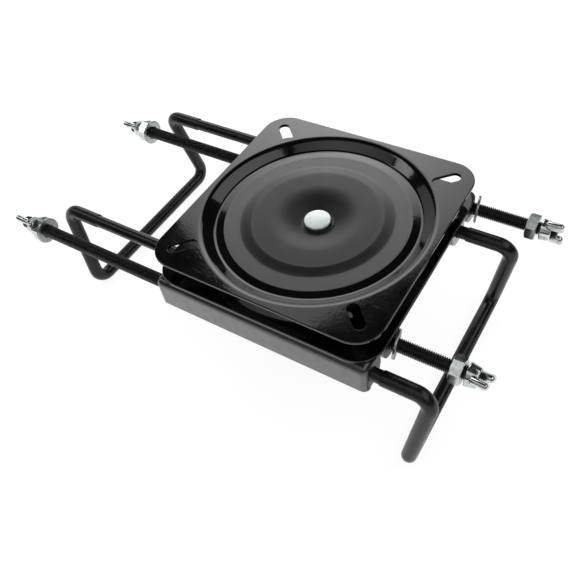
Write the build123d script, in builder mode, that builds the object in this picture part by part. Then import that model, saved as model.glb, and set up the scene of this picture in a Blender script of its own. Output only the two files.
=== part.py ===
"""Clamp-on swivel seat base: a ball-race swivel on two brackets, held to a bench by two sliding U-hooks.

X runs along the hooks' arms, Y from front to back, Z up.
The origin is on the swivel axis, in the flat top face of the top plate.
"""
import os
from math import radians, sqrt, tan
from build123d import *

# Swivel plates
plate_margin = 5.5
plate_corner = 20.0
plate_edge_round = 0.8
sheet = 2.5
swivel_height = 23.0
slot_count = 4
slot_angle = 45.0
slot_length = 21.5
slot_clearance = 0.5
slot_gap = 0.35

# Pressed form of both plates, outwards and inwards from the ball track
ball_track_radius = 62.0
track_half_width = 6.0
track_depth = 5.7
track_edge_round = 1.0
groove_run = 7.0
groove_depth = 1.5
groove_round = 4.0
wall_run = 8.5
press_round = 8.0
press_land = 3.0
disc_run = 5.0
disc_rise = 0.5
disc_round = 20.0
recess_run = 15.4
recess_round = 87.0
seat_margin = 1.55
seat_round = 3.0
race_half_width = 5.0
race_slope = 1.5
race_depth = 1.2
race_round = 0.8
rim_round = 2.8
hub_margin = 9.0
hub_slope = 3.0

# Ball race
ball_diameter = 8.0
ball_count = 24
ball_clearance = 0.15
cage_thickness = 2.0
cage_rim = 1.0
cage_pocket_clearance = 0.2

# Centre rivet and thrust washer
rivet_diameter = 10.0
rivet_head_diameter = 20.5
rivet_head_height = 2.8
rivet_tail_diameter = 17.0
rivet_tail_height = 2.5
rivet_edge = 0.6
running_clearance = 0.05
thrust_washer_diameter = 24.0
thrust_thickness = 3.6
thrust_clearance = 0.2

# Brackets
bracket_end_margin = 17.0
bracket_depth = 24.0
bracket_bend = 5.0
web_margin = 0.7
ear_radius = 11.5
ear_notch = 10.5

# Plate bolts
bolt_diameter = 8.0
bolt_head_diameter = 16.0
bolt_head_height = 4.4
bolt_head_round = 3.2
bolt_tail = 1.5
bolt_hole_clearance = 0.2
bolt_nut_flats = 13.0
bolt_nut_height = 6.5
bolt_nut_room = 1.5

# Hooks
rod_drop = 11.0
bar_diameter = 11.0
thread_diameter = 10.0
thread_length = 165.0
thread_chamfer = 1.2
shank_relief = 0.4
arm_spare = 191.0
arm_shoulder = 35.5
shoulder_chamfer = 0.8
leg_lean = 13.0
leg_drop = 75.0
leg_splay = 10.5
bend_radius = 10.0
rod_clearance = 0.3
left_pull = 91.5
right_pull = 6.3

# Clamp hardware
nut_flats = 17.0
nut_height = 8.0
nut_edge = 0.4
nut_chamfer_angle = 28.0
nut_turn = 30.0
washer_diameter = 21.0
washer_thickness = 2.0
washer_clearance = 0.75
loose_washer_nod = 5.0
loose_washer_swing = 12.0
loose_washer_gap = 2.6
nut_inset = 14.0
left_front_run = 2.0
lock_gap = 2.0
wing_hub_diameter = 16.5
wing_hub_top = 13.5
wing_hub_height = 8.0
wing_reach = 8.0
wing_thickness = 5.0
wing_width = 8.0
wing_splay = 1.5
wing_root = 2.6
wing_tip_round = 1.6
right_front_wing_turn = -40.0
right_rear_wing_turn = -72.0
left_front_wing_turn = 61.0
left_rear_wing_turn = 48.0

# Radii worked out from the sizes above
track_outer = ball_track_radius + track_half_width
track_inner = ball_track_radius - track_half_width
wall_foot = track_outer + groove_run
press_radius = wall_foot + wall_run
disc_radius = track_inner - disc_run
seat_radius = rivet_head_diameter / 2 + seat_margin
recess_radius = seat_radius + recess_run
race_outer = ball_track_radius + race_half_width
race_inner = ball_track_radius - race_half_width
hub_radius = thrust_washer_diameter / 2 + hub_margin
rivet_hole_radius = rivet_diameter / 2 + running_clearance
rod_hole_radius = thread_diameter / 2 + rod_clearance
slot_width = bolt_diameter + slot_clearance
slot_radius = press_radius + press_land + slot_gap + slot_length / 2

# Levels
flat_top = sheet - swivel_height
web_top = -swivel_height
bracket_floor = web_top - bracket_depth
rod_level = web_top - rod_drop
track_underside = -track_depth - sheet
race_floor = track_underside - ball_diameter - 2 * ball_clearance
ball_level = track_underside - ball_clearance - ball_diameter / 2
groove_level = -track_depth - groove_depth
disc_level = disc_rise - track_depth
rim_level = race_floor + race_depth
hub_underside = race_floor - sheet
seat_level = race_floor + thrust_thickness + thrust_clearance + sheet

# Places across and along the part
plate_size = 2 * (press_radius + plate_margin)
slot_centre = slot_radius / sqrt(2)
rod_pitch = bolt_nut_flats + bar_diameter + 2 * bolt_nut_room
near_rod = slot_centre - rod_pitch / 2
far_rod = slot_centre + rod_pitch / 2
bracket_outer = far_rod + bar_diameter / 2 + rod_clearance + sheet
bracket_web = bracket_outer - near_rod + ear_radius + web_margin
bracket_end = slot_centre + bracket_end_margin
bracket_length = 2 * bracket_end
shank_diameter = thread_diameter - shank_relief
arm_length = bracket_length + arm_spare
left_bend = -bracket_end - left_pull - arm_shoulder
right_bend = bracket_end + right_pull + arm_shoulder
right_tip = left_bend + arm_length
left_tip = right_bend - arm_length

os.makedirs("parts", exist_ok=True)


def save(piece, label):
    """Name a finished piece and write it to its own file."""
    piece.part.label = label
    export_step(piece.part, f"parts/{label}.step")


def place_copy(form, label, *places):
    """Write copies of one form, each set at its own place, as one named node."""
    with BuildPart() as piece:
        with Locations(*places):
            add(form.part)
    save(piece, label)


# Flat of both plates: a slotted square with a rounded edge, open inside for its pressed form
with BuildPart() as square_flat:
    with BuildSketch():
        RectangleRounded(plate_size, plate_size, plate_corner)
    extrude(amount=-sheet)
    fillet(square_flat.edges().group_by(Axis.Z)[-1], plate_edge_round)
    with BuildSketch():
        Circle(press_radius + press_land)
        with PolarLocations(slot_radius, slot_count, start_angle=slot_angle):
            SlotOverall(slot_length, slot_width)
    extrude(amount=-sheet, mode=Mode.SUBTRACT)

# Top plate: a long rounded wall, a sloping groove, the ball track, a raised disc and the rivet's recess
top_press = [
    (press_radius + press_land, 0),
    (press_radius, 0),
    (wall_foot, groove_level),
    (track_outer, -track_depth),
    (track_inner, -track_depth),
    (disc_radius, disc_level),
    (recess_radius, disc_level),
    (seat_radius, seat_level),
    (rivet_hole_radius, seat_level),
]
outer_radii = [press_round, groove_round, track_edge_round]
inner_radii = [disc_round, disc_round, recess_round, seat_round]
top_radii = outer_radii + inner_radii

with BuildPart() as top_plate:
    add(square_flat.part)
    with BuildSketch(Plane.XZ):
        with BuildLine():
            FilletPolyline(*top_press, radius=top_radii)
            offset(amount=sheet, side=Side.LEFT)
        make_face()
    revolve(axis=Axis.Z)
save(top_plate, "top_plate")

# Bottom plate: the same flat with a raised rim, a ball race and a sunk hub
bottom_press = [
    (press_radius + press_land, flat_top),
    (press_radius, flat_top),
    (wall_foot, rim_level),
    (race_outer + race_slope, rim_level),
    (race_outer, race_floor),
    (race_inner, race_floor),
    (race_inner - race_slope, rim_level),
    (hub_radius + hub_slope, rim_level),
    (hub_radius, race_floor),
    (rivet_hole_radius, race_floor),
]
race_radii = [race_round] * 4
bottom_radii = [rim_round, rim_round, *race_radii, race_round, race_round]

with BuildPart() as bottom_plate:
    with Locations((0, 0, flat_top)):
        add(square_flat.part)
    with BuildSketch(Plane.XZ):
        with BuildLine():
            FilletPolyline(*bottom_press, radius=bottom_radii)
            offset(amount=sheet, side=Side.LEFT)
        make_face()
    revolve(axis=Axis.Z)
save(bottom_plate, "bottom_plate")

# Ball race: loose balls in a pierced ring
with BuildPart() as ball:
    with BuildSketch(Plane.XZ):
        with Locations((ball_track_radius, ball_level)):
            Circle(ball_diameter / 2)
            Rectangle(ball_diameter, ball_diameter, align=(Align.MAX, Align.CENTER), mode=Mode.SUBTRACT)
    revolve(axis=Axis((ball_track_radius, 0, 0), (0, 0, 1)))
ball_turns = [Location((0, 0, 0), (0, 0, turn * 360 / ball_count)) for turn in range(ball_count)]
place_copy(ball, "bearing_balls", *ball_turns)

with BuildPart() as ball_cage:
    cage_half_width = ball_diameter / 2 + cage_rim
    with BuildSketch(Plane.XY.offset(ball_level - cage_thickness / 2)):
        Circle(ball_track_radius + cage_half_width)
        Circle(ball_track_radius - cage_half_width, mode=Mode.SUBTRACT)
        with PolarLocations(ball_track_radius, ball_count):
            Circle(ball_diameter / 2 + cage_pocket_clearance, mode=Mode.SUBTRACT)
    extrude(amount=cage_thickness)
save(ball_cage, "ball_cage")

# Centre rivet, clinched under the bottom plate, and the thrust washer between the plates
head_seat = seat_level + running_clearance
with BuildPart() as centre_rivet:
    with BuildSketch(Plane.XY.offset(head_seat)):
        Circle(rivet_head_diameter / 2)
    extrude(amount=rivet_head_height)
    chamfer(centre_rivet.edges().group_by(Axis.Z)[-1], rivet_edge)
    with BuildSketch(Plane.XY.offset(head_seat)):
        Circle(rivet_diameter / 2)
    extrude(amount=hub_underside - head_seat)
    with BuildSketch(Plane.XY.offset(hub_underside)):
        Circle(rivet_tail_diameter / 2)
    extrude(amount=-rivet_tail_height)
    chamfer(centre_rivet.edges().group_by(Axis.Z)[0], rivet_edge)
save(centre_rivet, "centre_rivet")

with BuildPart() as thrust_washer:
    with BuildSketch(Plane.XY.offset(race_floor)):
        Circle(thrust_washer_diameter / 2)
        Circle(rivet_hole_radius, mode=Mode.SUBTRACT)
    extrude(amount=thrust_thickness)
save(thrust_washer, "thrust_washer")

# Bracket: a pressed pan, open below and on its inner side, with an ear round each rod
with BuildPart() as bracket:
    with BuildSketch(Plane.XY.offset(bracket_floor)):
        with Locations((0, -bracket_outer)):
            Rectangle(bracket_length, bracket_web, align=(Align.CENTER, Align.MIN))
    extrude(amount=bracket_depth)
    front_corners = bracket.edges().filter_by(Axis.Z).group_by(Axis.Y)[0]
    top_edges = bracket.edges().group_by(Axis.Z)[-1].sort_by(Axis.Y)[:-1]
    fillet(front_corners + top_edges, bracket_bend)
    pan_floor = bracket.faces().sort_by(Axis.Z)[0]
    pan_back = bracket.faces().sort_by(Axis.Y)[-1]
    offset(amount=-sheet, openings=[pan_floor, pan_back])
    ear_cut_depth = rod_level - bracket_floor
    with BuildSketch(Plane.YZ.offset(-bracket_length)) as ear_outline:
        with Locations((-bracket_outer + bracket_web, bracket_floor)):
            Rectangle(bracket_web - bracket_bend, ear_cut_depth + ear_notch / 2, align=(Align.MAX, Align.MIN))
        with Locations((-near_rod, rod_level), (-far_rod, rod_level)):
            Circle(ear_radius, mode=Mode.SUBTRACT)
        with Locations((-near_rod, rod_level), (-far_rod, rod_level)):
            Rectangle(2 * ear_radius, ear_cut_depth, align=(Align.CENTER, Align.MIN), mode=Mode.SUBTRACT)
    extrude(amount=2 * bracket_length, mode=Mode.SUBTRACT)
    with BuildSketch(Plane.YZ.offset(-bracket_length)):
        with Locations((-near_rod, rod_level), (-far_rod, rod_level)):
            Circle(rod_hole_radius)
    extrude(amount=2 * bracket_length, mode=Mode.SUBTRACT)
    with BuildSketch(Plane.XY.offset(bracket_floor)):
        with Locations((slot_centre, -slot_centre), (-slot_centre, -slot_centre)):
            Circle(bolt_diameter / 2 + bolt_hole_clearance)
    extrude(amount=bracket_depth, mode=Mode.SUBTRACT)
place_copy(bracket, "front_bracket", Location((0, 0, 0)))
place_copy(bracket, "rear_bracket", Location((0, 0, 0), (0, 0, 180)))

# Plate bolts and their nuts, in the four corner slots of the bottom plate
bolt_spots = [(x * slot_centre, y * slot_centre, 0) for x in (-1, 1) for y in (-1, 1)]
bolt_nut_top = web_top - sheet
bolt_end = bolt_nut_top - bolt_nut_height - bolt_tail

with BuildPart() as plate_bolts:
    with BuildSketch(Plane.XY.offset(bolt_end)):
        with Locations(*bolt_spots):
            Circle(bolt_diameter / 2)
    extrude(amount=flat_top - bolt_end)
    with BuildSketch(Plane.XY.offset(flat_top)):
        with Locations(*bolt_spots):
            Circle(bolt_head_diameter / 2)
    extrude(amount=bolt_head_height)
    fillet(plate_bolts.edges().group_by(Axis.Z)[-1], bolt_head_round)
save(plate_bolts, "plate_bolts")

with BuildPart() as plate_nuts:
    with BuildSketch(Plane.XY.offset(bolt_nut_top)):
        with Locations(*bolt_spots):
            RegularPolygon(bolt_nut_flats / 2, 6, major_radius=False)
            Circle(bolt_diameter / 2 + running_clearance, mode=Mode.SUBTRACT)
    extrude(amount=-bolt_nut_height)
save(plate_nuts, "plate_nuts")

# Hook: one bent bar with two arms that step down to a shank and a threaded end
shoulder = right_bend - arm_shoulder
thread_start = left_tip + thread_length
arm_planes = [Plane((0, y, rod_level), x_dir=(0, 1, 0), z_dir=(1, 0, 0)) for y in (-far_rod, near_rod)]

with BuildPart() as hook:
    with BuildLine() as bar_path:
        FilletPolyline(
            (shoulder, -far_rod, rod_level),
            (right_bend, -far_rod, rod_level),
            (right_bend - leg_lean, -far_rod - leg_splay, rod_level - leg_drop),
            (right_bend - leg_lean, near_rod + leg_splay, rod_level - leg_drop),
            (right_bend, near_rod, rod_level),
            (shoulder, near_rod, rod_level),
            radius=bend_radius,
        )
    with BuildSketch(arm_planes[0].offset(shoulder)):
        Circle(bar_diameter / 2)
    sweep(path=bar_path.line)
    shoulder_edges = hook.edges().filter_by(GeomType.CIRCLE).group_by(Axis.X)[0]
    chamfer(shoulder_edges, shoulder_chamfer)
    for arm in arm_planes:
        with BuildSketch(arm.offset(thread_start)):
            Circle(shank_diameter / 2)
        extrude(amount=shoulder - thread_start)
        with BuildSketch(arm.offset(left_tip)):
            Circle(thread_diameter / 2)
        extrude(amount=thread_length)
    chamfer(hook.edges().filter_by(GeomType.CIRCLE).group_by(Axis.X)[0], thread_chamfer)
place_copy(hook, "right_hook", Location((0, 0, 0)))
place_copy(hook, "left_hook", Location((left_bend + right_bend, 0, 0), (0, 0, 180)))

# Clamp washers, hex nuts and wing nuts, each made at the origin and pointing outwards along Z
nut_bore = thread_diameter / 2 + running_clearance

with BuildPart() as washer:
    with BuildSketch():
        Circle(washer_diameter / 2)
        Circle(thread_diameter / 2 + washer_clearance, mode=Mode.SUBTRACT)
    extrude(amount=washer_thickness)

with BuildPart() as hex_nut:
    with BuildSketch():
        RegularPolygon(nut_flats / 2, 6, major_radius=False, rotation=nut_turn)
    extrude(amount=nut_height)
    nut_corner = nut_flats / sqrt(3)
    nut_face = nut_flats / 2 - nut_edge
    nut_fall = (nut_corner - nut_face) * tan(radians(nut_chamfer_angle))
    with BuildSketch(Plane.XZ):
        with BuildLine():
            Polyline(
                (0, 0),
                (nut_face, 0),
                (nut_corner, nut_fall),
                (nut_corner, nut_height - nut_fall),
                (nut_face, nut_height),
                (0, nut_height),
                close=True,
            )
        make_face()
    revolve(axis=Axis.Z, mode=Mode.INTERSECT)
    Hole(nut_bore)

wing_mid = wing_hub_top / 2 - wing_root + wing_width / 2
with BuildPart() as wing_nut:
    with BuildSketch():
        Circle(wing_hub_diameter / 2)
    with BuildSketch(Plane.XY.offset(wing_hub_height)):
        Circle(wing_hub_top / 2)
    loft()
    with BuildSketch(Plane.XY.offset(wing_hub_height / 2)):
        with Locations((wing_mid, 0)):
            SlotOverall(wing_width, wing_thickness)
    with BuildSketch(Plane.XY.offset(wing_hub_height + wing_reach)):
        with Locations((wing_mid + wing_splay, 0)):
            SlotOverall(wing_width, wing_thickness)
    loft()
    fillet(wing_nut.faces().sort_by(Axis.Z)[-1].edges(), wing_tip_round)
    mirror(about=Plane.YZ)
    Hole(nut_bore)

# The right ends of the left hook carry their hardware apart; on the left ends it is run up together
right_nut_seat = right_tip - nut_inset - nut_height
right_wing_seat = right_nut_seat + nut_height + lock_gap
right_washer_seat = bracket_end + loose_washer_gap
left_nut_seat = left_tip + nut_inset + nut_height
left_wing_seat = left_nut_seat - nut_height
left_washer_seat = left_nut_seat + washer_thickness

loose = Location((0, 0, 0), (loose_washer_nod, loose_washer_swing, 0))
seated = Location((0, 0, 0))
right_side = (1, right_washer_seat, right_nut_seat, right_wing_seat, loose)
left_side = (-1, left_washer_seat, left_nut_seat, left_wing_seat, seated)

corners = {
    "right_front": (-near_rod, 0, right_front_wing_turn, *right_side),
    "right_rear": (far_rod, 0, right_rear_wing_turn, *right_side),
    "left_front": (-far_rod, left_front_run, left_front_wing_turn, *left_side),
    "left_rear": (near_rod, 0, left_rear_wing_turn, *left_side),
}
for corner, (rod_y, run, wing_turn, side, washer_seat, nut_seat, wing_seat, lie) in corners.items():
    outwards = Plane((run, rod_y, rod_level), x_dir=(0, 1, 0), z_dir=(side, 0, 0))
    turned = Location((0, 0, 0), (0, 0, wing_turn))
    place_copy(washer, f"{corner}_washer", outwards.offset(side * washer_seat).location * lie)
    place_copy(hex_nut, f"{corner}_hex_nut", outwards.offset(side * nut_seat).location)
    place_copy(wing_nut, f"{corner}_wing_nut", outwards.offset(side * wing_seat).location * turned)
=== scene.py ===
# %% [markdown]
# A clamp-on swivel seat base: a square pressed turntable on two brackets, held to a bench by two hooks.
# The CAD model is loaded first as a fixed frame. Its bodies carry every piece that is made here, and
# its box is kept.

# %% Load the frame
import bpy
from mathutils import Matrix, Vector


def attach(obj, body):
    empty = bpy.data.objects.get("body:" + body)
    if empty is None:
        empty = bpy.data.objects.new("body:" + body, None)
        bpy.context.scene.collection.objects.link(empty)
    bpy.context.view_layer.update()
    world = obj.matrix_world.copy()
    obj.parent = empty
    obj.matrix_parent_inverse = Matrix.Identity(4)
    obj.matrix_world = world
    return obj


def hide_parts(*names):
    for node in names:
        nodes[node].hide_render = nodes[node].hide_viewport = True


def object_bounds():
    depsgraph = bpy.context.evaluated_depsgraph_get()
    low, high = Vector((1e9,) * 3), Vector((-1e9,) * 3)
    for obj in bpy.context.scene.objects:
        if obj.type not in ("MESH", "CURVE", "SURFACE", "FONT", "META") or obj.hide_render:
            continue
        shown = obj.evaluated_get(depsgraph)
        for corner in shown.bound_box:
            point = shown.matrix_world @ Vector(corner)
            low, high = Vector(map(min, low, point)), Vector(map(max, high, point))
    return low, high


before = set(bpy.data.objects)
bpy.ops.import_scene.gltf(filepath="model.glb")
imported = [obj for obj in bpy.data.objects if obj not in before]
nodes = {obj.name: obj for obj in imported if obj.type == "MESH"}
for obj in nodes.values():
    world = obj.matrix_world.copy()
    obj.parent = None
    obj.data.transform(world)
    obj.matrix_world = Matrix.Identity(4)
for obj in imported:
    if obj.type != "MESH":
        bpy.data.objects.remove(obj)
cad_box = [list(corner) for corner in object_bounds()]

from math import cos, degrees, hypot, pi, radians, sin, tan

import bmesh
import bpy
from mathutils import Matrix, Vector

MM = 0.001
scene = bpy.context.scene
scene.view_settings.view_transform = "Standard"

# %% [markdown]
# The camera stands in front, to the right and above. Its place could be set by eye, but the plate's
# corners and the hooks' bends give enough known points to work it out. The values here are that
# camera: a focal length in pixels, two angles, a roll and the point that it looks at.

# %% Camera
picture_px = 576
focal_px = 684.6
centre_px = Vector((295.0, 260.0))
azimuth, elevation, roll = radians(38.87), radians(47.65), radians(-9.84)
target = Vector((-1.3, -31.64, -20.0)) * MM
distance = 486.4 * MM

forward = Vector((-sin(azimuth) * cos(elevation), cos(azimuth) * cos(elevation), -sin(elevation)))
level = Vector((cos(azimuth), sin(azimuth), 0.0))
upright = level.cross(forward)
right = level * cos(roll) + upright * sin(roll)
up = upright * cos(roll) - level * sin(roll)

camera_data = bpy.data.cameras.new("camera")
camera_data.sensor_width = 36.0
camera_data.lens = focal_px * camera_data.sensor_width / picture_px
camera_data.shift_x = (picture_px / 2 - centre_px.x) / picture_px
camera_data.shift_y = (centre_px.y - picture_px / 2) / picture_px
camera_data.clip_start = 0.01
camera = bpy.data.objects.new("camera", camera_data)
turn = Matrix((right, up, -forward)).transposed().to_4x4()
camera.matrix_world = Matrix.Translation(target - forward * distance) @ turn
scene.collection.objects.link(camera)
scene.camera = camera
print("camera lens", round(camera_data.lens, 2), "mm at", [round(c, 3) for c in camera.location])

# %% [markdown]
# Every material below is a tree of nodes. One helper adds a node with its operation and the values of
# its sockets, and one runs a value through a range. Each node could be set up line by line, as the
# editor's own log shows it, but a tree is easier to follow when a node is one line.

# %% Node helpers


def add_node(tree, kind, values=None, operation=None):
    """A new shader node with its operation, and with values on sockets given by name or number."""
    node = tree.nodes.new("ShaderNode" + kind)
    if operation:
        node.operation = operation
    for socket, value in (values or {}).items():
        node.inputs[socket].default_value = value
    return node


def in_range(tree, source, start, end, at_start, at_end):
    """A value run through a range: at_start below it, at_end above it, and even in between."""
    limits = {"From Min": start, "From Max": end, "To Min": at_start, "To Max": at_end}
    node = add_node(tree, "MapRange", limits)
    tree.links.new(source, node.inputs["Value"])
    return node.outputs["Result"]


print("node helpers ready")

# %% [markdown]
# The floor is a flat white sweep at the level of the hooks' crossbars, large enough that its edge never
# shows. It belongs to the stage and not to the part.

# %% Floor
floor_half, floor_level = 6.0, cad_box[0][2]
floor_mesh = bpy.data.meshes.new("floor")
bm = bmesh.new()
bmesh.ops.create_grid(bm, x_segments=1, y_segments=1, size=floor_half)
bmesh.ops.translate(bm, vec=(0, 0, floor_level), verts=bm.verts)
bm.to_mesh(floor_mesh)
bm.free()
floor = bpy.data.objects.new("floor", floor_mesh)
scene.collection.objects.link(floor)
print("floor at", round(floor_level, 4))

# %% [markdown]
# Black enamel is seen almost only by what it mirrors, and its upright faces mirror the floor, so the
# floor shows white to the camera and to glossy rays alike. In mirrors its glow carries a painted shade:
# it is darker under the object and far behind it, where a real floor lies in shade. Part of it stays a
# plain matte surface, which keeps a soft shadow under the hooks.

# %% Floor paint
floor_white = (0.9, 0.9, 0.9, 1)
# painted shade: the floor's glow in mirrors is set lower under the object and far behind it
open_glow, under_shade_glow, back_shade_glow = 1.12, 0.5, 0.25
under_start, under_end, under_shape = 0.06, 0.12, (0.5, 1, 0)
back_start, back_end = 0.16, 0.36
glow_share = 0.8

floor_paint = bpy.data.materials.new("floor_white")
floor_paint.use_nodes = True
tree = floor_paint.node_tree
tree.nodes.clear()
spot = add_node(tree, "TexCoord").outputs["Object"]
squeeze = add_node(tree, "VectorMath", {1: under_shape}, "MULTIPLY")
away = add_node(tree, "VectorMath", operation="LENGTH")
split = add_node(tree, "SeparateXYZ")
tree.links.new(spot, squeeze.inputs[0])
tree.links.new(squeeze.outputs["Vector"], away.inputs[0])
tree.links.new(spot, split.inputs[0])
# painted shade: these ramps darken the mirrored floor under the object and far behind it
under = in_range(tree, away.outputs["Value"], under_start, under_end, under_shade_glow, open_glow)
back = in_range(tree, split.outputs["Y"], back_start, back_end, open_glow, back_shade_glow)
shaded = add_node(tree, "Math", operation="MINIMUM")
tree.links.new(under, shaded.inputs[0])
tree.links.new(back, shaded.inputs[1])

path = add_node(tree, "LightPath")
strength = add_node(tree, "Mix", {"B": open_glow})
seen = add_node(tree, "Math", {1: glow_share}, "MULTIPLY")
mirrored = add_node(tree, "Math", operation="MAXIMUM")
matte = add_node(tree, "BsdfDiffuse", {"Color": floor_white})
glow = add_node(tree, "Emission")
mix = add_node(tree, "MixShader")
output = add_node(tree, "OutputMaterial")
tree.links.new(path.outputs["Is Camera Ray"], strength.inputs["Factor"])
tree.links.new(shaded.outputs[0], strength.inputs["A"])
tree.links.new(strength.outputs["Result"], glow.inputs["Strength"])
tree.links.new(path.outputs["Is Camera Ray"], seen.inputs[0])
tree.links.new(seen.outputs[0], mirrored.inputs[0])
tree.links.new(path.outputs["Is Glossy Ray"], mirrored.inputs[1])
tree.links.new(mirrored.outputs[0], mix.inputs["Fac"])
tree.links.new(matte.outputs[0], mix.inputs[1])
tree.links.new(glow.outputs[0], mix.inputs[2])
tree.links.new(mix.outputs[0], output.inputs["Surface"])
floor_mesh.materials.append(floor_paint)
print("floor glow", open_glow, "in the open,", under_shade_glow, "under the object,", back_shade_glow, "far behind")

# %% [markdown]
# The room is an even light for matte surfaces, white behind the object, and nearly black in mirrors.
# Dark mirrors are what gives zinc its black facets and enamel its depth. Lamps alone could do this,
# but then the matte floor would need many of them.

# %% Room
matte_level, mirror_level = 0.6, 0.03
world = bpy.data.worlds.new("room")
scene.world = world
world.use_nodes = True
tree = world.node_tree
sky = tree.nodes["Background"]
sky.inputs["Color"].default_value = (1, 1, 1, 1)
path = add_node(tree, "LightPath")
behind = add_node(tree, "Math", {1: 1.0 - matte_level, 2: matte_level}, "MULTIPLY_ADD")
in_mirror = add_node(tree, "Math", {1: mirror_level - matte_level}, "MULTIPLY_ADD")
tree.links.new(path.outputs["Is Camera Ray"], behind.inputs[0])
tree.links.new(path.outputs["Is Glossy Ray"], in_mirror.inputs[0])
tree.links.new(behind.outputs[0], in_mirror.inputs[2])
tree.links.new(in_mirror.outputs[0], sky.inputs["Strength"])
print("room", matte_level, "for matte surfaces,", mirror_level, "in mirrors")

# %% [markdown]
# Glowing cards stand in for softboxes. A card is a rectangle that faces the object from far away, placed
# by the direction in which a mirror sees it. Area lamps could do this too, but a card's own material can
# fade from its middle to its edges, as the front of a softbox does.

# %% A glowing card
card_distance = 8.0


def card(name, bearing, height_angle, wide, high, middle, edge, lean=0.0):
    """A card at a bearing and height, as wide and high as two angles, with its middle and edge glow."""
    width, height = (2 * card_distance * tan(radians(angle) / 2) for angle in (wide, high))
    bearing, height_angle = radians(bearing), radians(height_angle)
    along = Vector((-sin(bearing) * cos(height_angle), cos(bearing) * cos(height_angle), sin(height_angle)))
    place = along * card_distance
    facing = (-place).to_track_quat("Z", "Y").to_matrix().to_4x4()
    facing = facing @ Matrix.Rotation(radians(lean), 4, "Z")
    size = Matrix.Diagonal((width, height, 1.0, 1.0))
    bm = bmesh.new()
    bm.loops.layers.uv.new("card")
    bmesh.ops.create_grid(bm, x_segments=1, y_segments=1, size=0.5, calc_uvs=True,
                          matrix=Matrix.Translation(place) @ facing @ size)
    mesh = bpy.data.meshes.new(name)
    bm.to_mesh(mesh)
    bm.free()
    paper = bpy.data.materials.new(name)
    paper.use_nodes = True
    tree = paper.node_tree
    tree.nodes.clear()
    spot = add_node(tree, "TexCoord")
    offset = add_node(tree, "VectorMath", {1: (0.5, 0.5, 0.0)}, "DISTANCE")
    glow = add_node(tree, "Emission")
    output = add_node(tree, "OutputMaterial")
    tree.links.new(spot.outputs["UV"], offset.inputs[0])
    tree.links.new(in_range(tree, offset.outputs["Value"], 0.0, 0.5, middle, edge), glow.inputs["Strength"])
    tree.links.new(glow.outputs[0], output.inputs["Surface"])
    mesh.materials.append(paper)
    holder = bpy.data.objects.new(name, mesh)
    holder.visible_camera = False
    scene.collection.objects.link(holder)
    print("card", name, round(width, 2), "x", round(height, 2), "m")


print("cards stand", card_distance, "m away")

# %% [markdown]
# The card behind is what the flat plate mirrors, bright in its middle and ending before the near and left
# corners, which stay black. The low one is the lower part of the backdrop. The one above, past the
# viewer's head, lights the far wall of the ring, and a narrow bright one on the left draws a line on that
# wall. Weaker cards stand on the right, on the left, and in front for the zinc that faces the camera.

# %% Cards
card("card_behind", 30.5, 34, 37, 31, 4.4, 1.5, lean=-30)
card("card_low", 36, 12, 41, 17, 1.7, 1.3)
card("card_above", 180, 62, 80, 32, 1.0, 0.5)
card("card_right", -82, 53, 85, 30, 1.6, 1.4)
card("card_left", 76, 11, 60, 36, 0.65, 0.55)
card("card_front", 180, 29, 50, 26, 0.5, 0.4)
card("card_side", 103, 41, 11, 24, 3.4, 2.8)

# %% [markdown]
# Most finishes need the same few irregularities: an orange-peel skin, soft patches and fine scuffs.
# Each is a small node group that gives one value, so a material mixes them as it needs. Pictures of
# paint could be used, but noise in real millimetres keeps its scale on every piece.

# %% Shared effects


def effect(name, output, detail):
    """A node group with a size input and one value output, and noise of that size inside it."""
    group = bpy.data.node_groups.new(name, "ShaderNodeTree")
    group.interface.new_socket(name="Size mm", in_out="INPUT", socket_type="NodeSocketFloat")
    group.interface.new_socket(name=output, in_out="OUTPUT", socket_type="NodeSocketFloat")
    start, end = group.nodes.new("NodeGroupInput"), group.nodes.new("NodeGroupOutput")
    spot = add_node(group, "TexCoord").outputs["Object"]
    noise = add_node(group, "TexNoise", {"Detail": detail})
    per_metre = add_node(group, "Math", {0: 1000.0}, "DIVIDE")
    group.links.new(start.outputs["Size mm"], per_metre.inputs[1])
    group.links.new(per_metre.outputs[0], noise.inputs["Scale"])
    return group, end.inputs[output], spot, noise


skin, end, spot, noise = effect("paint_skin", "Height", 1.5)
noise.inputs["Roughness"].default_value = 0.4
skin.links.new(spot, noise.inputs["Vector"])
skin.links.new(noise.outputs["Fac"], end)

patches, end, spot, noise = effect("soft_patches", "Mask", 4.0)
patches.links.new(spot, noise.inputs["Vector"])
patches.links.new(in_range(patches, noise.outputs["Fac"], 0.35, 0.65, 0.0, 1.0), end)

scuffs, end, spot, noise = effect("fine_scuffs", "Mask", 3.0)
stretch = add_node(scuffs, "Mapping", {"Rotation": (0.3, 0.2, 0.6), "Scale": (0.12, 1.0, 1.0)})
scuffs.links.new(spot, stretch.inputs["Vector"])
scuffs.links.new(stretch.outputs["Vector"], noise.inputs["Vector"])
scuffs.links.new(in_range(scuffs, noise.outputs["Fac"], 0.6, 0.72, 0.0, 1.0), end)
print("effects:", skin.name, patches.name, scuffs.name)

# %% [markdown]
# Every finish starts from one shader whose colour and roughness run between two values over the soft
# patches, with a bumped skin. A material could be set up by hand for each piece, but one function keeps
# them alike, so that only the numbers differ.

# %% A finish
scuff_mm, scuff_share = 1.5, 0.06


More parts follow.
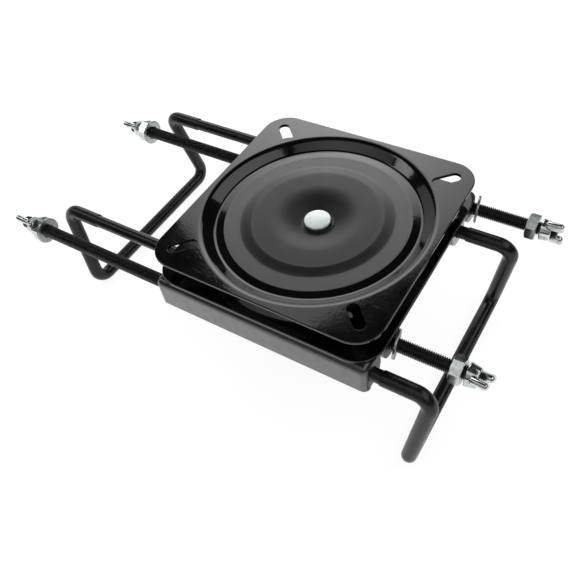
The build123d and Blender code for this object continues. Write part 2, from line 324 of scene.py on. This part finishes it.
def finish(name, dark, light, smooth, rough, patch_mm, skin_mm, skin_depth,
           metallic=0.0, ior=1.5, coat=0.0):
    """A material whose colour and roughness vary in patches, with a bumped skin and a few scuffs."""
    material = bpy.data.materials.new(name)
    material.use_nodes = True
    tree = material.node_tree
    shader = tree.nodes["Principled BSDF"]
    shader.inputs["Metallic"].default_value = metallic
    shader.inputs["IOR"].default_value = ior
    shader.inputs["Coat Weight"].default_value = coat
    shader.inputs["Coat Roughness"].default_value = smooth

    def use(group, size):
        node = tree.nodes.new("ShaderNodeGroup")
        node.node_tree = group
        node.inputs["Size mm"].default_value = size
        return node.outputs[0]

    patch = use(patches, patch_mm)
    colour = add_node(tree, "Mix")
    colour.data_type = "RGBA"
    colour.inputs["A"].default_value = (*dark, 1)
    colour.inputs["B"].default_value = (*light, 1)
    tree.links.new(patch, colour.inputs["Factor"])
    tree.links.new(colour.outputs["Result"], shader.inputs["Base Color"])
    worn = add_node(tree, "Math", {1: scuff_share}, "MULTIPLY_ADD")
    tree.links.new(use(scuffs, scuff_mm), worn.inputs[0])
    tree.links.new(in_range(tree, patch, 0.0, 1.0, smooth, rough), worn.inputs[2])
    tree.links.new(worn.outputs[0], shader.inputs["Roughness"])
    bump = add_node(tree, "Bump", {"Distance": skin_depth * MM})
    tree.links.new(use(skin, skin_mm), bump.inputs["Height"])
    tree.links.new(bump.outputs["Normal"], shader.inputs["Normal"])
    return material


print("scuffs of", scuff_mm, "mm add", scuff_share, "to the roughness")

# %% [markdown]
# The finishes themselves: enamel is deep black and shiny on the plates, softer on the bars, and coated on
# the brackets. The thread is a dull black oxide, zinc is a bright metal with a cool tint, and nylon is
# matte. A CAD node that stays in view takes its finish by a word in its name.

# %% Finishes
enamel = finish("black_enamel", (0.001, 0.0012, 0.0014), (0.002, 0.0022, 0.0024),
                0.05, 0.09, 30, 2.4, 0.014, ior=1.55)
bar_enamel = finish("bar_enamel", (0.003, 0.0033, 0.004), (0.008, 0.0085, 0.009),
                    0.22, 0.34, 9, 1.4, 0.05, ior=1.4)
pan_enamel = finish("bracket_enamel", (0.004, 0.0042, 0.0045), (0.009, 0.009, 0.009),
                    0.26, 0.4, 6, 0.9, 0.03, ior=1.6, coat=0.7)
oxide = finish("black_oxide", (0.003, 0.003, 0.003), (0.008, 0.008, 0.009),
               0.26, 0.4, 4, 0.5, 0.02, ior=1.6)
zinc = finish("zinc_plate", (0.42, 0.46, 0.45), (0.7, 0.75, 0.74),
              0.1, 0.2, 4, 0.8, 0.02, metallic=1.0)
dull_zinc = finish("dull_zinc", (0.32, 0.34, 0.34), (0.46, 0.48, 0.48),
                   0.24, 0.4, 3, 0.7, 0.03, metallic=1.0)
bright_zinc = finish("bright_zinc", (0.27, 0.3, 0.29), (0.4, 0.43, 0.42),
                     0.18, 0.3, 5, 0.9, 0.02, metallic=1.0)
nylon = finish("nylon", (0.6, 0.57, 0.48), (0.72, 0.69, 0.6), 0.4, 0.55, 8, 0.6, 0.02)
ball_steel = finish("ball_steel", (0.55, 0.56, 0.58), (0.66, 0.67, 0.69),
                    0.06, 0.12, 5, 1.0, 0.002, metallic=1.0)

finishes = {
    "plate": enamel, "bracket": pan_enamel, "hook": bar_enamel, "balls": ball_steel, "cage": nylon,
    "thrust": nylon, "rivet": bright_zinc, "washer": dull_zinc, "nut": zinc,
}
for name, node in nodes.items():
    word = next(word for word in finishes if word in name)
    node.data.materials.clear()
    node.data.materials.append(finishes[word])
print("finishes for", len(finishes), "kinds of node")

# %% [markdown]
# The top plate wears the same enamel, but its middle is smooth and duller than the flat round it, and the
# ball track has an extra coat. Ramps over the distance from the swivel axis set the roughness, the
# orange peel and the coat. Several materials would do too, but their borders would show as lines.

# %% Dull middle of the top plate
disc_edge, track_inside, track_outside, groove_edge = 44, 60, 66, 68
dullness = ((0, 0.36), (disc_edge, 0.36), (50, 0.25), (54, 0.25), (track_inside, 0.4), (track_outside, 0.4),
            (groove_edge, 0))
peel_share = ((0, 0), (track_outside, 0), (groove_edge, 1))
coat_share = ((0, 0), (52, 0), (track_inside, 1), (track_outside, 1), (groove_edge, 0))
plate_enamel = enamel.copy()
plate_enamel.name = "plate_enamel"
tree = plate_enamel.node_tree
shader, bump = tree.nodes["Principled BSDF"], tree.nodes["Bump"]
shader.inputs["Coat Roughness"].default_value = 0.45
shader.inputs["Coat IOR"].default_value = 1.55
spot = add_node(tree, "TexCoord")
flat = add_node(tree, "VectorMath", {1: (1, 1, 0)}, "MULTIPLY")
radius = add_node(tree, "VectorMath", operation="LENGTH")
tree.links.new(spot.outputs["Object"], flat.inputs[0])
tree.links.new(flat.outputs["Vector"], radius.inputs[0])


def by_radius(stops):
    """A ramp of grey values over the distance from the axis, from pairs of millimetres and value."""
    reach = max(place for place, value in stops)
    share = add_node(tree, "Math", {1: reach * MM}, "DIVIDE")
    node = add_node(tree, "ValToRGB")
    ramp = node.color_ramp
    ramp.interpolation = "EASE"
    while len(ramp.elements) < len(stops):
        ramp.elements.new(1.0)
    for element, (place, value) in zip(ramp.elements, stops):
        element.position = place / reach
        element.color = (value, value, value, 1)
    tree.links.new(radius.outputs["Value"], share.inputs[0])
    tree.links.new(share.outputs[0], node.inputs["Fac"])
    return node.outputs["Color"]


dull = add_node(tree, "Math", operation="ADD")
tree.links.new(shader.inputs["Roughness"].links[0].from_socket, dull.inputs[0])
tree.links.new(by_radius(dullness), dull.inputs[1])
tree.links.new(dull.outputs[0], shader.inputs["Roughness"])
peel = add_node(tree, "Math", operation="MULTIPLY")
tree.links.new(bump.inputs["Height"].links[0].from_socket, peel.inputs[0])
tree.links.new(by_radius(peel_share), peel.inputs[1])
tree.links.new(peel.outputs[0], bump.inputs["Height"])
tree.links.new(by_radius(coat_share), shader.inputs["Coat Weight"])
print("dull disc inside", disc_edge, "mm, coated track from", track_inside, "to", track_outside, "mm")

# %% [markdown]
# Pieces made here are drawn in millimetres with mesh operators, then scaled once to metres. Smooth
# shading with sharp edges kept at corners lets a round bar stay round and a thread's crest stay crisp.

# %% Mesh helpers
sharp_angle = radians(35)


def make_piece(bm, name, body, slot, replaced, *materials):
    """Turn a mesh drawn in millimetres into a piece that rides on a body and stands for a node."""
    bmesh.ops.scale(bm, vec=(MM, MM, MM), verts=bm.verts)
    for face in bm.faces:
        face.smooth = True
    for edge in bm.edges:
        if len(edge.link_faces) == 2 and edge.calc_face_angle() > sharp_angle:
            edge.smooth = False
    mesh = bpy.data.meshes.new(name)
    bm.to_mesh(mesh)
    bm.free()
    for material in materials:
        mesh.materials.append(material)
    piece = bpy.data.objects.new(name, mesh)
    scene.collection.objects.link(piece)
    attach(piece, body)
    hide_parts(replaced)
    print(name, len(mesh.polygons), "faces on", body)
    return piece


def largest_face(bm):
    """The face with the largest area."""
    return max(bm.faces, key=lambda face: face.calc_area())


def edges_at(verts):
    """The edges that meet some points, each once."""
    return list({edge for vert in verts for edge in vert.link_edges})


def ends_of(edges):
    """The points of some edges, each once."""
    return list({vert for edge in edges for vert in edge.verts})


def loop_in(geometry):
    """The edges in a list of geometry that join two points of that list."""
    points = {item for item in geometry if isinstance(item, bmesh.types.BMVert)}
    return [item for item in geometry if isinstance(item, bmesh.types.BMEdge) and set(item.verts) <= points]


print("edges sharper than", round(degrees(sharp_angle)), "degrees stay crisp")

# %% [markdown]
# A pressed or turned piece is known by its section: straight runs joined by round bends. The section is
# drawn from one point that is extruded along each run and spun through each bend, and a full spin about
# the swivel axis then makes the form. Rings of points could be worked out by hand, but that is longer.

# %% Turned forms
plate_steps, small_steps = 192, 72
small_round, small_bend_step, wide_bend_step, least_steps = 2, 12, 2, 4


def run_to(bm, vert, place):
    """Extrude a point to a place, and give the new point."""
    end = bmesh.ops.extrude_vert_indiv(bm, verts=[vert])["verts"][0]
    bmesh.ops.translate(bm, vec=place - vert.co, verts=[end])
    return end


def section(bm, corners, rounds):
    """A line of straight runs and round bends through corners in the XZ plane."""
    points = [Vector((x, 0, z)) for x, z in corners]
    vert = bmesh.ops.create_vert(bm, co=points[0])["vert"][0]
    heading = (points[1] - points[0]).normalized()
    for corner, after, radius in zip(points[1:], points[2:], rounds):
        leaving = (after - corner).normalized()
        angle = heading.angle(leaving)
        vert = run_to(bm, vert, corner - heading * radius * tan(angle / 2))
        axis = heading.cross(leaving).normalized()
        bend_step = wide_bend_step if radius > small_round else small_bend_step
        made = bmesh.ops.spin(bm, geom=[vert], cent=vert.co + axis.cross(heading) * radius, axis=axis,
                              angle=angle, steps=max(least_steps, round(degrees(angle) / bend_step)),
                              use_duplicate=False)
        vert = next(item for item in made["geom_last"] if isinstance(item, bmesh.types.BMVert))
        heading = leaving
    run_to(bm, vert, points[-1])


def turned(bm, corners, rounds, steps=plate_steps):
    """A section spun once round the Z axis."""
    section(bm, corners, rounds)
    bmesh.ops.spin(bm, geom=bm.verts[:] + bm.edges[:], cent=(0, 0, 0), axis=(0, 0, 1), angle=2 * pi,
                   steps=steps, use_merge=True, use_duplicate=False)
    bmesh.ops.remove_doubles(bm, verts=bm.verts, dist=0.001)


print("turned forms of", plate_steps, "steps, small ones of", small_steps)

# %% [markdown]
# The top plate is one sheet pressed in a die. From the flat square inwards come a rounded wall, a
# sloping groove, the ball track, a raised disc and the recess for the rivet. The round part is turned,
# the square is a face with bevelled corners, slots are stretched circles, and one fill joins them.

# %% Top plate
plate_half, plate_corner, corner_steps = 89.0, 20.0, 40
slot_radius, slot_length, slot_width, slot_sides = 97.6, 21.5, 8.5, 32
press_edge = 86.5
pressed = [
    (press_edge, 0), (83.5, 0), (75.0, -6.4), (68.0, -5.7), (56.0, -5.7), (48.0, -4.6), (25.5, -4.6),
    (11.8, -10.2), (5.05, -10.2),
]
press_rounds = (8.0, 4.0, 1.0, 10.0, 12.0, 45.0, 3.0)
bm = bmesh.new()
turned(bm, pressed, press_rounds)

square = bmesh.ops.create_grid(bm, x_segments=1, y_segments=1, size=plate_half)["verts"]
bmesh.ops.bevel(bm, geom=square, offset=plate_corner, offset_type="OFFSET", segments=corner_steps,
                profile=0.5, affect="VERTICES", material=-1)
bmesh.ops.delete(bm, geom=[largest_face(bm)], context="FACES_ONLY")
half_step = Matrix.Rotation(pi / slot_sides, 4, "Z")
stretch = (slot_length - slot_width) / 2
slot_points = set()
for number in range(4):
    slot = bmesh.ops.create_circle(bm, segments=slot_sides, radius=slot_width / 2, matrix=half_step)["verts"]
    bmesh.ops.translate(bm, vec=(stretch, 0, 0), verts=[vert for vert in slot if vert.co.x > 0])
    bmesh.ops.translate(bm, vec=(-stretch, 0, 0), verts=[vert for vert in slot if vert.co.x < 0])
    bmesh.ops.translate(bm, vec=(slot_radius, 0, 0), verts=slot)
    corner_turn = Matrix.Rotation(radians(45 + 90 * number), 3, "Z")
    bmesh.ops.rotate(bm, cent=(0, 0, 0), matrix=corner_turn, verts=slot)
    slot_points.update(slot)
outer = [edge for edge in bm.edges if edge.verts[0].co.xy.length > press_edge - 1]
open_edges = [edge for edge in outer if len(edge.link_faces) < 2]
bmesh.ops.triangle_fill(bm, edges=open_edges, use_beauty=True)
bmesh.ops.recalc_face_normals(bm, faces=bm.faces)
if largest_face(bm).normal.z < 0:
    bmesh.ops.reverse_faces(bm, faces=bm.faces)
print("top plate of", len(bm.faces), "faces, with", len(slot_points), "points round its slots")

# %% [markdown]
# A sheet is cut before it is pressed, so its edges are slightly broken. Solidify gives it its thickness
# and Bevel breaks the edges that carry a weight: all of the outline, and less at the slots, which lie
# close to the wall. The thickness could be extruded too, but a modifier keeps it even round each bend.

# %% Thickness and edges of the top plate
sheet, edge_round, slot_edge_share = 2.5, 0.7, 0.45
edge_share = bm.edges.layers.float.new("bevel_weight_edge")
for edge in bm.edges:
    if len(edge.link_faces) == 1 and edge.verts[0].co.xy.length > press_edge:
        edge[edge_share] = slot_edge_share if edge.verts[0] in slot_points else 1.0
top_sheet = make_piece(bm, "top_plate_sheet", "turntable", "black_paint", "top_plate", plate_enamel)
thickness = top_sheet.modifiers.new("thickness", "SOLIDIFY")
thickness.thickness = sheet * MM
thickness.offset = -1.0
broken = top_sheet.modifiers.new("broken_edge", "BEVEL")
broken.width = edge_round * MM
broken.segments = 3
broken.limit_method = "WEIGHT"
broken.use_clamp_overlap = False
broken.loop_slide = False
broken.harden_normals = True
print("sheet", sheet, "mm thick, edges broken by", edge_round, "mm")

# %% [markdown]
# The rivet is a turned pin with a flat zinc head in the recess and a clinched tail under the bottom
# plate. Its head is what the eye finds first, so its edge is a true round and not a chamfer.

# %% Centre rivet
head_radius, head_top, head_seat = 10.25, -7.35, -10.15
pin_radius, tail_radius, tail_seat, tail_end = 5.0, 8.5, -19.0, -21.5
pin = [
    (0, head_top), (head_radius, head_top), (head_radius, head_seat), (pin_radius, head_seat),
    (pin_radius, tail_seat), (tail_radius, tail_seat), (tail_radius, tail_end), (0, tail_end),
]
pin_rounds = (0.9, 0.2, 0.2, 0.2, 0.2, 0.8)
bm = bmesh.new()
turned(bm, pin, pin_rounds)
bmesh.ops.recalc_face_normals(bm, faces=bm.faces)
make_piece(bm, "centre_rivet_pin", "base", "zinc_plate", "centre_rivet", bright_zinc)

# %% [markdown]
# A hook is one round steel bar. Two arms run along X, each bends down into a leg, and a crossbar joins
# the legs below. Its route is a line through the corners of the bar's middle, from one arm's shoulder,
# where the thinner shank begins, round to the other's.

# %% Route of the hook
far_rod, near_rod, rod_level = 82.51, 55.51, -34.0
right_bend, arm_shoulder = 127.81, 35.5
leg_lean, leg_drop, leg_splay = 13.0, 75.0, 10.5
shoulder = right_bend - arm_shoulder
foot_x, foot_level = right_bend - leg_lean, rod_level - leg_drop

route = [
    Vector((shoulder, -far_rod, rod_level)),
    Vector((right_bend, -far_rod, rod_level)),
    Vector((foot_x, -far_rod - leg_splay, foot_level)),
    Vector((foot_x, near_rod + leg_splay, foot_level)),
    Vector((right_bend, near_rod, rod_level)),
    Vector((shoulder, near_rod, rod_level)),
]
print("hook bar route of", len(route), "points")

# %% [markdown]
# A cold bend is an arc, so each corner of the bar is a ring spun about the bend's centre, which keeps the
# bar's section round, and each straight run is that ring pulled along. A swept curve would also do, but
# its chamfered ends would have to be made apart from it.

# %% Hook bar
bar_radius, bend_radius, bend_steps, bar_sides = 5.49, 10.0, 14, 40
shoulder_chamfer = 0.8


def ring(bm, centre, facing, radius):
    """The edges of a circle at a place, facing a direction."""
    turn = Vector(facing).to_track_quat("Z", "Y").to_matrix().to_4x4()
    made = bmesh.ops.create_circle(bm, segments=bar_sides, radius=radius,
                                   matrix=Matrix.Translation(centre) @ turn)
    return edges_at(made["verts"])


def pull(bm, edges, by, widen=1.0):
    """Draw a ring out by a vector and scale it about its own middle, and give the new ring."""
    rim = loop_in(bmesh.ops.extrude_edge_only(bm, edges=edges)["geom"])
    points = ends_of(rim)
    bmesh.ops.translate(bm, vec=by, verts=points)
    middle = sum((vert.co for vert in points), Vector()) / len(points)
    bmesh.ops.scale(bm, vec=(widen, widen, widen), space=Matrix.Translation(-middle), verts=points)
    return rim


def bend(bm, edges, centre, axis, angle):
    """Turn a ring about an axis, and give the last ring."""
    made = bmesh.ops.spin(bm, geom=edges, cent=centre, axis=axis, angle=angle, steps=bend_steps,
                          use_duplicate=False)
    return loop_in(made["geom_last"])


def bent_bar(bm):
    """The thick part of the hook, with a chamfered shoulder at each end."""
    heading = (route[1] - route[0]).normalized()
    narrow = 1.0 - shoulder_chamfer / bar_radius
    edges = ring(bm, route[0], heading, bar_radius * narrow)
    bmesh.ops.edgeloop_fill(bm, edges=edges)
    edges = pull(bm, edges, heading * shoulder_chamfer, 1.0 / narrow)
    here = route[0] + heading * shoulder_chamfer
    for corner, after in zip(route[1:], route[2:]):
        leaving = (after - corner).normalized()
        angle = heading.angle(leaving)
        reach = bend_radius * tan(angle / 2)
        arc_start = corner - heading * reach
        edges = pull(bm, edges, arc_start - here)
        axis = heading.cross(leaving).normalized()
        edges = bend(bm, edges, arc_start + axis.cross(heading) * bend_radius, axis, angle)
        here = corner + leaving * reach
        heading = leaving
    edges = pull(bm, edges, route[-1] - heading * shoulder_chamfer - here)
    edges = pull(bm, edges, heading * shoulder_chamfer, narrow)
    bmesh.ops.edgeloop_fill(bm, edges=edges)


print("hook bar", 2 * bar_radius, "mm thick with bends of", bend_radius, "mm")

# %% [markdown]
# The thin end of each arm is a rolled M10 thread of 1.5 mm pitch. One turn is a four-line profile spun
# round once while it moves along by a pitch. Copies of that turn, set end to end and merged, make the
# whole thread. A bump would be cheaper, but the ridges show against the white floor.

# %% Thread
left_tip, thread_length = -235.21, 165.0
thread_radius, thread_depth, shank_radius = 5.0, 0.92, 4.8
pitch, crest, root, turn_steps = 1.5, 0.19, 0.25, 24
tip_depth, tip_run, shank_step, shoulder_overlap = 1.2, 0.4, 0.01, 1.0
flank = (pitch - crest - root) / 2
root_radius = thread_radius - thread_depth
tip_radius = thread_radius - tip_depth
turns = int(thread_length / pitch)


def threaded_end(bm, y):
    """A core with a chamfered tip, its thread and its plain shank, from the arm's tip to its shoulder."""
    tip = Vector((left_tip, y, rod_level))
    along = Vector((1, 0, 0))
    edges = ring(bm, tip, along, tip_radius)
    bmesh.ops.edgeloop_fill(bm, edges=edges)
    edges = pull(bm, edges, along * tip_run, root_radius / tip_radius)
    edges = pull(bm, edges, along * (thread_length - tip_run))
    edges = pull(bm, edges, along * shank_step, shank_radius / root_radius)
    pull(bm, edges, along * (shoulder + shoulder_overlap - left_tip - thread_length))
    plain_faces = set(bm.faces)

    vert = bmesh.ops.create_vert(bm, co=tip + Vector((0, root_radius, 0)))["vert"][0]
    profile = [vert]
    for step in ((flank, thread_depth), (crest, 0), (flank, -thread_depth), (root, 0)):
        made = bmesh.ops.extrude_vert_indiv(bm, verts=[vert])
        vert = made["verts"][0]
        bmesh.ops.translate(bm, vec=(*step, 0), verts=[vert])
        profile += [made["edges"][0], vert]
    bmesh.ops.spin(bm, geom=profile, cent=tip, axis=along, dvec=along * pitch / turn_steps,
                   angle=2 * pi, steps=turn_steps, use_duplicate=False)
    one_turn = [face for face in bm.faces if face not in plain_faces]
    for number in range(1, turns):
        made = bmesh.ops.duplicate(bm, geom=one_turn)["geom"]
        copies = [item for item in made if isinstance(item, bmesh.types.BMVert)]
        bmesh.ops.translate(bm, vec=along * pitch * number, verts=copies)
    thread_faces = [face for face in bm.faces if face not in plain_faces]
    points = list({vert for face in thread_faces for vert in face.verts})
    bmesh.ops.remove_doubles(bm, verts=points, dist=0.002)

    thread_faces = [face for face in bm.faces if face not in plain_faces]
    for vert in {vert for face in thread_faces for vert in face.verts}:
        limit = tip_radius + vert.co.x - left_tip
        radius = hypot(vert.co.y - y, vert.co.z - rod_level)
        if radius > limit:
            vert.co.y = y + (vert.co.y - y) * limit / radius
            vert.co.z = rod_level + (vert.co.z - rod_level) * limit / radius
    for face in thread_faces:
        face.material_index = 1


print("thread of", turns, "turns on each arm")

# %% [markdown]
# The two hooks are alike. The left one is the right one turned half round and moved along, so its arms
# lie beside the other's and both pass through the brackets.

# %% Hooks
hook_shift = -85.2
for name, body, half_turn in (("right_hook", "right_clamp", False), ("left_hook", "left_clamp", True)):
    bm = bmesh.new()
    bent_bar(bm)
    for y in (-far_rod, near_rod):
        threaded_end(bm, y)
    bmesh.ops.recalc_face_normals(bm, faces=bm.faces)
    if half_turn:
        bmesh.ops.rotate(bm, cent=(0, 0, 0), matrix=Matrix.Rotation(pi, 3, "Z"), verts=bm.verts)
        bmesh.ops.translate(bm, vec=(hook_shift, 0, 0), verts=bm.verts)
    make_piece(bm, name + "_bar", body, "black_paint", name, bar_enamel, oxide)

# %% [markdown]
# Washers and wing nuts are drawn round the Z axis and then laid along their rods. A list of places could
# hold where each one goes, but its CAD node already stands there, so the middle of that node's box is
# used, and a piece can't drift away from the solid that it stands for.

# %% Places on the rods
outwards = {"right_front": 1, "right_rear": 1, "left_front": -1, "left_rear": -1}


def middle_of(node):
    """The middle of a node's box, in millimetres."""
    spots = [node.matrix_world @ vert.co for vert in node.data.vertices]
    low, high = (Vector([pick(spot[i] for spot in spots) for i in range(3)]) for pick in (min, max))
    return (low + high) / 2 / MM


def set_on_rod(bm, side, turn, node):
    """Turn a piece, lay its Z axis along the rod towards the free end, and put it where a node is."""
    along_rod = Matrix(((0, 0, side), (1, 0, 0), (0, side, 0)))
    bmesh.ops.rotate(bm, cent=(0, 0, 0), matrix=along_rod @ turn, verts=bm.verts)
    bmesh.ops.translate(bm, vec=middle_of(node), verts=bm.verts)


print("rods at", len(outwards), "corners")

# %% [markdown]
# Washers are stamped, so their rims are rolled over a little and catch the light as thin bright rings. A
# washer is a small turned section. The two beside the brackets hang loose on their rods and lean a
# little, and the other two sit square against their nuts.

# %% Washers
washer_bore, washer_rim, washer_sheet = 5.75, 10.5, 2.0
washer_rounds = (0.3, 0.6, 0.6, 0.3)
low, high = -washer_sheet / 2, washer_sheet / 2
stamped = [
    (washer_bore, 0), (washer_bore, low), (washer_rim, low), (washer_rim, high), (washer_bore, high),
    (washer_bore, 0),
]
square_on = Matrix.Identity(3)
leaning = Matrix.Rotation(radians(5), 3, "X") @ Matrix.Rotation(radians(12), 3, "Y")

for corner, side in outwards.items():
    loose = side > 0
    bm = bmesh.new()
    turned(bm, stamped, washer_rounds, small_steps)
    bmesh.ops.recalc_face_normals(bm, faces=bm.faces)
    set_on_rod(bm, side, leaning if loose else square_on, nodes[corner + "_washer"])
    body = "base" if loose else corner + "_nut"
    make_piece(bm, corner + "_washer_ring", body, "zinc_plate", corner + "_washer", dull_zinc)

# %% [markdown]
# A wing nut is cold forged: a tapered hub and two stout fingers that splay outwards. The hub is turned,
# and each finger is a block whose far end is shifted outwards before all of its edges are bevelled
# round. Subdivision could round a rough block too, but the bevel keeps the finger's width exact.

# %% Wing nuts
hub_base, hub_top, hub_height, hub_bore = 8.25, 6.75, 8.0, 5.1
hub_rounds = (0.3, 1.0, 1.2, 0.4)
finger_middle, finger_splay, finger_width, finger_thickness = 8.15, 1.5, 8.0, 5.0
finger_foot, finger_end, finger_round, finger_round_steps = 3.0, 16.0, 2.3, 6
wing_turns = {"right_front": -40, "right_rear": -72, "left_front": 61, "left_rear": 48}
hub = [
    (hub_bore, hub_height / 2), (hub_bore, 0), (hub_base, 0), (hub_top, hub_height), (hub_bore, hub_height),
    (hub_bore, hub_height / 2),
]

for corner, side in outwards.items():
    bm = bmesh.new()
    turned(bm, hub, hub_rounds, small_steps)
    for way in (1, -1):
        block = bmesh.ops.create_cube(bm, size=1.0)["verts"]
        bmesh.ops.scale(bm, vec=(finger_width, finger_thickness, finger_end - finger_foot), verts=block)
        bmesh.ops.translate(bm, vec=(way * finger_middle, 0, (finger_foot + finger_end) / 2), verts=block)
        far_end = [vert for vert in block if vert.co.z > finger_end - 1]
        bmesh.ops.translate(bm, vec=(way * finger_splay, 0, 0), verts=far_end)
        bmesh.ops.bevel(bm, geom=edges_at(block), offset=finger_round, offset_type="OFFSET",
                        segments=finger_round_steps, profile=0.5, affect="EDGES", material=-1)
    bmesh.ops.recalc_face_normals(bm, faces=bm.faces)
    bmesh.ops.translate(bm, vec=(0, 0, -finger_end / 2), verts=bm.verts)
    wing_turn = Matrix.Rotation(radians(wing_turns[corner]), 3, "Z")
    set_on_rod(bm, side, wing_turn, nodes[corner + "_wing_nut"])
    make_piece(bm, corner + "_wing_nut_forged", corner + "_wing", "zinc_plate", corner + "_wing_nut", zinc)
